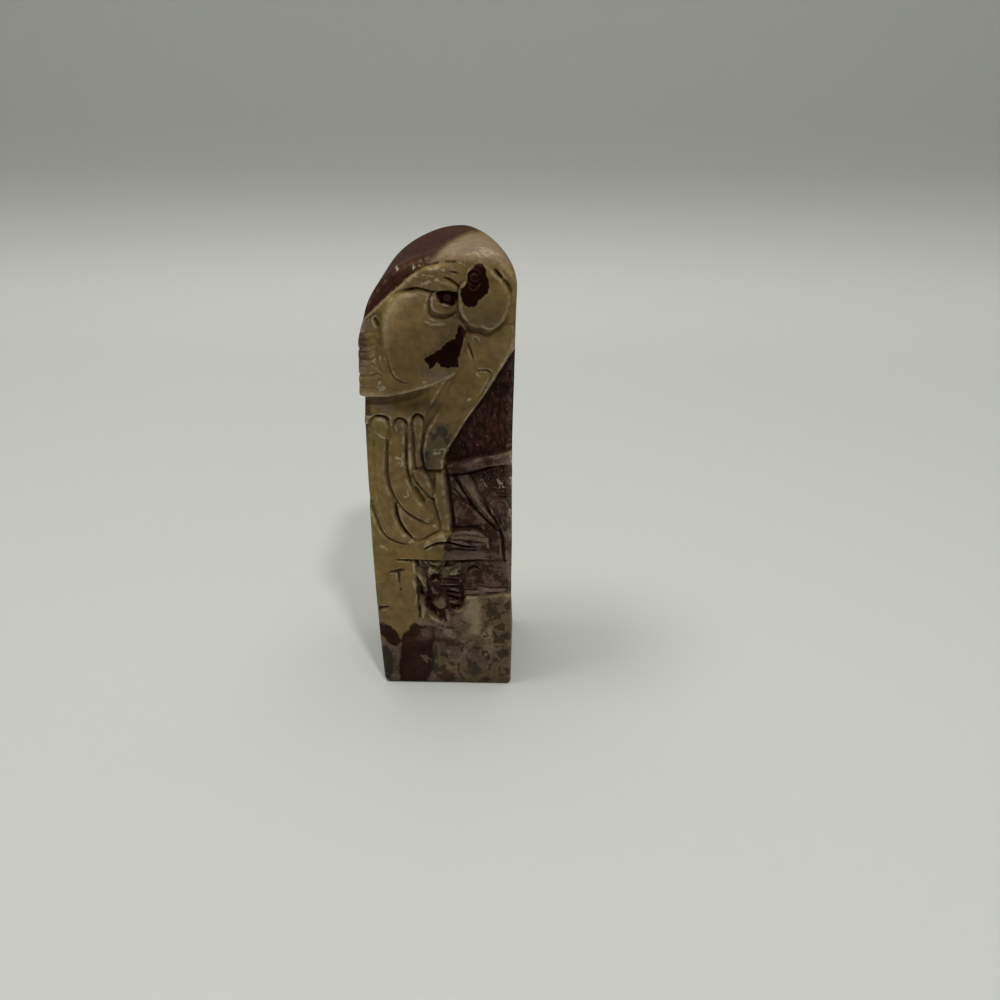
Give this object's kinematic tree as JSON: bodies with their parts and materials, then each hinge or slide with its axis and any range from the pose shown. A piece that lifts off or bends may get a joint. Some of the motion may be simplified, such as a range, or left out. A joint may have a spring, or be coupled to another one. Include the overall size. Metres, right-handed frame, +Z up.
{
  "type": "soapstone bird carving",
  "caption": "Upright block of mottled soapstone with an arched top, carved in relief with a perched bird of prey that bows its hooked beak over a branch and rocks.",
  "frame": {"origin": "middle of the underside of the block", "axes": "+Z up the block, the carved front with the bird faces -Y, +X to the right of someone who looks at that front"},
  "size_m": [0.047, 0.043, 0.15],
  "materials": {
    "soapstone": "waxed tan and red-brown soapstone, worn pale on its edges, with stone dust left in the cuts"
  },
  "bodies": {
    "root": {"bird_carving": "soapstone"}
  },
  "joints": []
}
